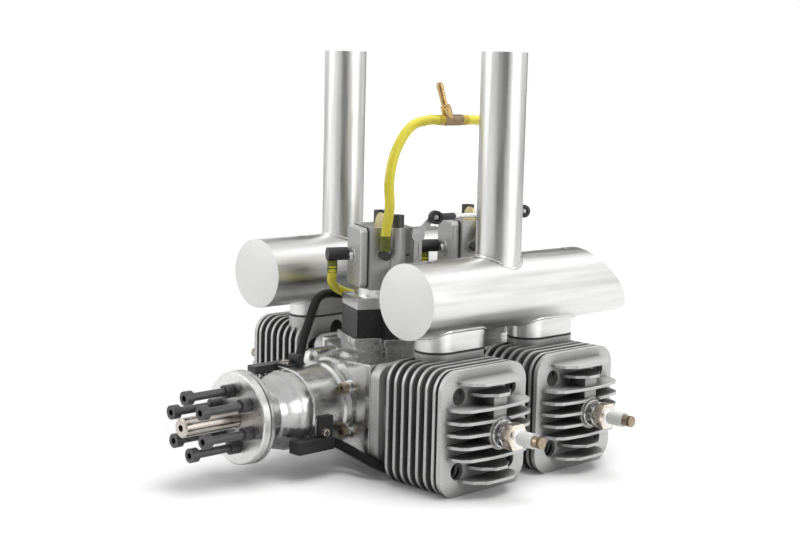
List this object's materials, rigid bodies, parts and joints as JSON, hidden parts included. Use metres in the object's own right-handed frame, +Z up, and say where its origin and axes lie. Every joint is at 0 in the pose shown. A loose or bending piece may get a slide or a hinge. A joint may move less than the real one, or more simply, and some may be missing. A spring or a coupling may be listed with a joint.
{
  "type": "model aircraft engine",
  "caption": "Flat boxer petrol engine with finned cylinders, carburettors on top, canister mufflers with upright stacks, propeller hub and rear cross mount.",
  "frame": {"origin": "in the firewall plane, at the centre of the four firewall screws, 15 mm above the crank axis", "axes": "+Y along the crank axis towards the firewall, +X to the bank whose front cylinder is foremost, +Z up towards the carburettors"},
  "size_m": [0.316, 0.3984, 0.2612],
  "materials": {
    "polished_case": "polished cast aluminium",
    "sand_cast": "matte sand-cast aluminium",
    "muffler_metal": "brushed aluminium sheet",
    "machined_metal": "machined aluminium",
    "carb_metal": "die-cast aluminium",
    "black_steel": "black oxide",
    "plain_steel": "ground steel",
    "warm_steel": "nickel plated, brownish",
    "zinc_brass": "yellow zinc plated",
    "brass_parts": "turned brass",
    "ceramic_white": "glazed white ceramic",
    "black_plastic": "black moulding",
    "gasket_dark": "dark gasket sheet",
    "hose_yellow": "translucent yellow hose",
    "lead_black": "black sleeved lead"
  },
  "bodies": {
    "engine": {"nose_case": "polished_case", "main_case": "polished_case", "rear_cover": "machined_metal", "rear_mount": "machined_metal", "case_screws": "zinc_brass", "main_bearings": "plain_steel", "bearing_carriers": "machined_metal", "shaft_seals": "gasket_dark", "cylinder_right_front": "sand_cast", "cylinder_left_front": "sand_cast", "cylinder_right_rear": "sand_cast", "cylinder_left_rear": "sand_cast", "cylinder_gaskets": "gasket_dark", "cylinder_bolts": "black_steel", "plug_shells": "warm_steel", "plug_insulators": "ceramic_white", "plug_terminals": "zinc_brass", "muffler_right": "muffler_metal", "muffler_left": "muffler_metal", "exhaust_stacks": "muffler_metal", "exhaust_gaskets": "gasket_dark", "muffler_bolts": "black_steel", "reed_blocks": "black_plastic", "reed_petals": "gasket_dark", "carb_adapters": "machined_metal", "carb_body_front": "carb_metal", "carb_body_rear": "carb_metal", "metering_covers": "carb_metal", "pump_covers": "carb_metal", "carb_gaskets": "gasket_dark", "carb_bolts": "black_steel", "hose_elbows": "black_plastic", "fuel_hose_front": "hose_yellow", "fuel_hose_rear": "hose_yellow", "fuel_tee": "brass_parts", "pulse_hoses": "hose_yellow", "hall_sensors": "black_plastic", "sensor_lead_lower": "lead_black", "sensor_lead_upper": "lead_black", "connector_lower": "black_plastic", "connector_upper": "black_plastic"},
    "crank": {"crankshaft": "plain_steel", "prop_hub": "polished_case", "prop_washer": "machined_metal", "prop_bolts": "black_steel", "centre_stud": "warm_steel", "timing_magnets": "plain_steel"},
    "piston_rf": {"piston_right_front": "machined_metal", "rod_right_front": "plain_steel"},
    "piston_lf": {"piston_left_front": "machined_metal", "rod_left_front": "plain_steel"},
    "piston_rr": {"piston_right_rear": "machined_metal", "rod_right_rear": "plain_steel"},
    "piston_lr": {"piston_left_rear": "machined_metal", "rod_left_rear": "plain_steel"},
    "throttle_f": {"throttle_front": "plain_steel"},
    "throttle_r": {"throttle_rear": "plain_steel"},
    "choke_f": {"choke_front": "brass_parts"},
    "choke_r": {"choke_rear": "brass_parts"},
    "link": {"throttle_link": "plain_steel"}
  },
  "joints": [
    {"name": "crank_spin", "type": "hinge", "parent": "engine", "child": "crank", "pos_m": [0, -0.25, -0.015], "axis": [0, 1, 0], "continuous": true},
    {"name": "piston_right_front_slide", "type": "slide", "parent": "engine", "child": "piston_rf", "axis": [-1, 0, 0], "range_m": [0, 0.035]},
    {"name": "piston_left_front_slide", "type": "slide", "parent": "engine", "child": "piston_lf", "axis": [1, 0, 0], "range_m": [0, 0.035]},
    {"name": "piston_right_rear_slide", "type": "slide", "parent": "engine", "child": "piston_rr", "axis": [1, 0, 0], "range_m": [0, 0.035]},
    {"name": "piston_left_rear_slide", "type": "slide", "parent": "engine", "child": "piston_lr", "axis": [-1, 0, 0], "range_m": [0, 0.035]},
    {"name": "throttle_front_turn", "type": "hinge", "parent": "engine", "child": "throttle_f", "pos_m": [-0.00065, -0.16496, 0.065], "axis": [-0.9134, 0.4071, 0], "range_deg": [0, 70]},
    {"name": "throttle_rear_turn", "type": "hinge", "parent": "engine", "child": "throttle_r", "pos_m": [-0.00065, -0.08046, 0.065], "axis": [-0.9134, 0.4071, 0], "range_deg": [0, 70]},
    {"name": "throttle_link_turn", "type": "hinge", "parent": "throttle_f", "child": "link", "pos_m": [0.03737, -0.15333, 0.1035], "axis": [-0.9134, 0.4071, 0], "range_deg": [-70, 0]},
    {"name": "choke_front_turn", "type": "hinge", "parent": "engine", "child": "choke_f", "pos_m": [-0.00065, -0.16496, 0.0915], "axis": [-0.9134, 0.4071, 0], "range_deg": [0, 80]},
    {"name": "choke_rear_turn", "type": "hinge", "parent": "engine", "child": "choke_r", "pos_m": [-0.00065, -0.08046, 0.0915], "axis": [-0.9134, 0.4071, 0], "range_deg": [0, 80]}
  ],
  "couplings": [
    {"joint": "piston_left_front_slide", "follows": "piston_right_front_slide", "ratio": 1},
    {"joint": "piston_right_rear_slide", "follows": "piston_right_front_slide", "ratio": 1},
    {"joint": "piston_left_rear_slide", "follows": "piston_right_front_slide", "ratio": 1},
    {"joint": "throttle_rear_turn", "follows": "throttle_front_turn", "ratio": 1},
    {"joint": "throttle_link_turn", "follows": "throttle_front_turn", "ratio": -1}
  ]
}
